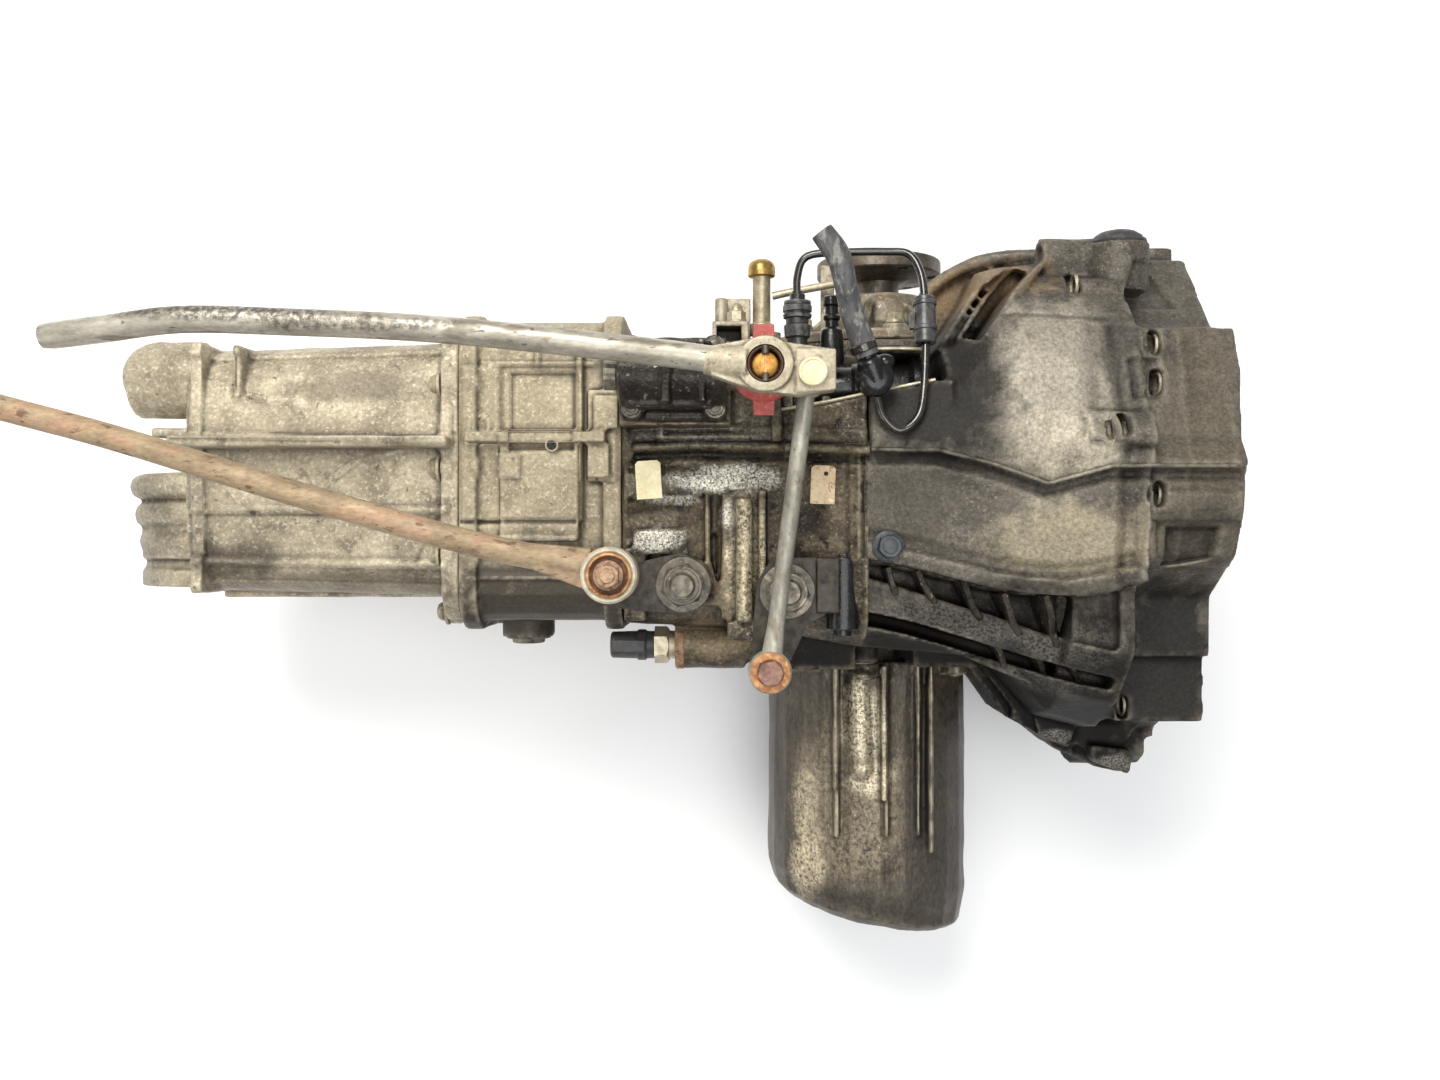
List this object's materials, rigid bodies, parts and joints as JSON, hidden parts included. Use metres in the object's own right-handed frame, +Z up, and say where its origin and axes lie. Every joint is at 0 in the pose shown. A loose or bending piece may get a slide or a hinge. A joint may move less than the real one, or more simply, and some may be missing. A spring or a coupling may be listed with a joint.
{
  "type": "manual transaxle",
  "caption": "Lengthwise manual transaxle with open clutch bell, aluminium housings, final drive, shift rods and clutch release, opened up to its gears.",
  "frame": {"origin": "centre of the bounding box on the floor plane", "axes": "+X towards the engine along the shafts, +Y to the vehicle left, +Z up"},
  "size_m": [0.7921, 0.522, 0.3858],
  "materials": {
    "cast_light": "rough cast, greyish beige with oil stains",
    "cast_dark": "rough cast, dark with oil film",
    "steel": "machined",
    "gear_steel": "ground, oiled",
    "dark_steel": "blackened, oily",
    "rusty": "rusty, remains of beige paint",
    "zinc": "dull zinc with dirt",
    "brass": "aged",
    "cast_iron": "cast, dark",
    "red_plastic": "faded red",
    "amber_plastic": "amber, greasy",
    "black_plastic": "black",
    "rubber": "black, dusty"
  },
  "bodies": {
    "gearbox": {"gearbox_housing": "cast_dark", "bearing_housing": "cast_light", "rear_cover": "cast_light", "diff_side_cover": "cast_light", "selector_cover": "cast_dark", "heat_shield": "cast_light", "heat_shield_bolt_1": "zinc", "heat_shield_bolt_2": "zinc", "support_bracket": "dark_steel", "bracket_nut_rear": "dark_steel", "bracket_nut_front": "dark_steel", "support_rod_bolt": "rusty", "link_pivot_bolt": "rusty", "guide_sleeve": "steel", "slave_cylinder": "black_plastic", "hydraulic_pipe": "dark_steel", "pipe_clip": "black_plastic", "pipe_connector": "black_plastic", "clutch_hose": "rubber", "hose_fitting": "dark_steel", "bleed_valve": "black_plastic", "reverse_light_switch": "black_plastic", "breather": "brass", "inspection_plug": "black_plastic", "filler_plug": "cast_light", "reverse_idler_shaft": "steel", "differential_bearing_left": "steel", "differential_bearing_right": "steel", "input_shaft_bearing": "steel", "pinion_shaft_bearing": "steel"},
    "input": {"input_shaft": "gear_steel"},
    "pinion": {"pinion_shaft": "gear_steel"},
    "gear_1": {"driven_gear_1": "gear_steel"},
    "gear_2": {"driven_gear_2": "gear_steel"},
    "gear_5": {"driven_gear_5": "gear_steel"},
    "gear_reverse": {"driven_gear_reverse": "gear_steel"},
    "gear_3": {"drive_gear_3": "gear_steel"},
    "gear_4": {"drive_gear_4": "gear_steel"},
    "reverse_idler": {"reverse_idler_gear": "gear_steel"},
    "sleeve_12": {"synchro_sleeve_12": "steel"},
    "sleeve_34": {"synchro_sleeve_34": "steel"},
    "sleeve_5r": {"synchro_sleeve_5r": "steel"},
    "fork_12": {"shift_fork_12": "brass"},
    "fork_34": {"shift_fork_34": "brass"},
    "fork_5r": {"shift_fork_5r": "brass"},
    "differential": {"differential_case": "cast_iron", "ring_gear": "gear_steel"},
    "left_flange": {"drive_flange_left": "dark_steel"},
    "right_flange": {"drive_flange_right": "dark_steel"},
    "link_stud": {"link_ball_stud": "zinc"},
    "upper_shift_rod": {"shift_rod": "zinc"},
    "selector": {"selector_shaft": "steel", "joint_ball": "amber_plastic", "joint_dust_cap": "red_plastic"},
    "link": {"link_rod": "zinc"},
    "lower_support_rod": {"support_rod": "rusty", "support_rod_bush": "rubber"},
    "pushrod": {"slave_pushrod": "zinc"},
    "lever": {"release_lever": "steel"},
    "thrust_bearing": {"release_bearing": "steel"}
  },
  "joints": [
    {"name": "input_spin", "type": "hinge", "parent": "gearbox", "child": "input", "pos_m": [0.396, 0.073, 0.178], "axis": [1, 0, 0], "continuous": true},
    {"name": "pinion_spin", "type": "hinge", "parent": "gearbox", "child": "pinion", "pos_m": [0.049, 0.073, 0.103], "axis": [1, 0, 0], "continuous": true},
    {"name": "gear_1_spin", "type": "hinge", "parent": "gearbox", "child": "gear_1", "pos_m": [0.082, 0.073, 0.103], "axis": [1, 0, 0], "continuous": true},
    {"name": "gear_2_spin", "type": "hinge", "parent": "gearbox", "child": "gear_2", "pos_m": [0.016, 0.073, 0.103], "axis": [1, 0, 0], "continuous": true},
    {"name": "gear_5_spin", "type": "hinge", "parent": "gearbox", "child": "gear_5", "pos_m": [-0.144, 0.073, 0.103], "axis": [1, 0, 0], "continuous": true},
    {"name": "gear_reverse_spin", "type": "hinge", "parent": "gearbox", "child": "gear_reverse", "pos_m": [-0.21, 0.073, 0.103], "axis": [1, 0, 0], "continuous": true},
    {"name": "gear_3_spin", "type": "hinge", "parent": "gearbox", "child": "gear_3", "pos_m": [-0.042, 0.073, 0.178], "axis": [1, 0, 0], "continuous": true},
    {"name": "gear_4_spin", "type": "hinge", "parent": "gearbox", "child": "gear_4", "pos_m": [-0.108, 0.073, 0.178], "axis": [1, 0, 0], "continuous": true},
    {"name": "reverse_idler_spin", "type": "hinge", "parent": "gearbox", "child": "reverse_idler", "pos_m": [-0.21, 0.12092, 0.15836], "axis": [1, 0, 0], "continuous": true},
    {"name": "sleeve_12_slide", "type": "slide", "parent": "pinion", "child": "sleeve_12", "axis": [1, 0, 0], "range_m": [-0.009, 0.009]},
    {"name": "sleeve_34_slide", "type": "slide", "parent": "input", "child": "sleeve_34", "axis": [1, 0, 0], "range_m": [-0.009, 0.009]},
    {"name": "sleeve_5r_slide", "type": "slide", "parent": "pinion", "child": "sleeve_5r", "axis": [1, 0, 0], "range_m": [-0.009, 0.009]},
    {"name": "fork_12_slide", "type": "slide", "parent": "gearbox", "child": "fork_12", "axis": [1, 0, 0], "range_m": [-0.009, 0.009]},
    {"name": "fork_34_slide", "type": "slide", "parent": "gearbox", "child": "fork_34", "axis": [1, 0, 0], "range_m": [-0.009, 0.009]},
    {"name": "fork_5r_slide", "type": "slide", "parent": "gearbox", "child": "fork_5r", "axis": [1, 0, 0], "range_m": [-0.009, 0.009]},
    {"name": "differential_spin", "type": "hinge", "parent": "gearbox", "child": "differential", "pos_m": [0.206, 0.073, 0.103], "axis": [0, 1, 0], "continuous": true},
    {"name": "left_flange_spin", "type": "hinge", "parent": "gearbox", "child": "left_flange", "pos_m": [0.206, 0.253, 0.103], "axis": [0, 1, 0], "continuous": true},
    {"name": "right_flange_spin", "type": "hinge", "parent": "gearbox", "child": "right_flange", "pos_m": [0.206, -0.072, 0.103], "axis": [0, 1, 0], "continuous": true},
    {"name": "shift_in_out", "type": "slide", "parent": "gearbox", "child": "link_stud", "axis": [1, 0, 0], "range_m": [-0.008, 0.008]},
    {"name": "shift_rod_swing", "type": "hinge", "parent": "link_stud", "child": "upper_shift_rod", "pos_m": [0.132, 0.136, 0.371], "axis": [0, 0, 1], "range_deg": [-5, 5]},
    {"name": "selector_turn", "type": "hinge", "parent": "link_stud", "child": "selector", "pos_m": [0.105, 0.141, 0.326], "axis": [1, 0, 0], "range_deg": [-3, 3]},
    {"name": "link_swing", "type": "hinge", "parent": "gearbox", "child": "link", "pos_m": [0.109, -0.039, 0.343], "axis": [0, 0, 1], "range_deg": [-2.67, 2.67]},
    {"name": "support_rod_swing", "type": "hinge", "parent": "gearbox", "child": "lower_support_rod", "pos_m": [0.013, 0.019, 0.343], "axis": [0, 0, 1], "range_deg": [-4, 4]},
    {"name": "release_lever_swing", "type": "hinge", "parent": "gearbox", "child": "lever", "pos_m": [0.316, 0.03702, 0.11912], "axis": [0, 0.8533, -0.5214], "range_deg": [0, 5.3]},
    {"name": "pushrod_slide", "type": "slide", "parent": "gearbox", "child": "pushrod", "axis": [1, 0, 0], "range_m": [0, 0.0181]},
    {"name": "release_bearing_slide", "type": "slide", "parent": "gearbox", "child": "thrust_bearing", "axis": [1, 0, 0], "range_m": [0, 0.00639]}
  ],
  "couplings": [
    {"joint": "gear_1_spin", "follows": "input_spin", "ratio": -0.3125},
    {"joint": "gear_2_spin", "follows": "input_spin", "ratio": -0.55556},
    {"joint": "gear_5_spin", "follows": "input_spin", "ratio": -1.2105},
    {"joint": "reverse_idler_spin", "follows": "input_spin", "ratio": -0.70588},
    {"joint": "gear_reverse_spin", "follows": "input_spin", "ratio": 0.5},
    {"joint": "gear_3_spin", "follows": "pinion_spin", "ratio": -1.3333},
    {"joint": "gear_4_spin", "follows": "pinion_spin", "ratio": -1},
    {"joint": "differential_spin", "follows": "pinion_spin", "ratio": 0.25714},
    {"joint": "left_flange_spin", "follows": "pinion_spin", "ratio": 0.25714},
    {"joint": "right_flange_spin", "follows": "pinion_spin", "ratio": 0.25714},
    {"joint": "fork_12_slide", "follows": "sleeve_12_slide", "ratio": 1},
    {"joint": "fork_34_slide", "follows": "sleeve_34_slide", "ratio": 1},
    {"joint": "fork_5r_slide", "follows": "sleeve_5r_slide", "ratio": 1},
    {"joint": "selector_turn", "follows": "shift_rod_swing", "ratio": 0.6},
    {"joint": "link_swing", "follows": "shift_in_out", "rad_per_m": -5.7143},
    {"joint": "pushrod_slide", "follows": "release_lever_swing", "m_per_rad": 0.19557},
    {"joint": "release_bearing_slide", "follows": "release_lever_swing", "m_per_rad": 0.069}
  ]
}
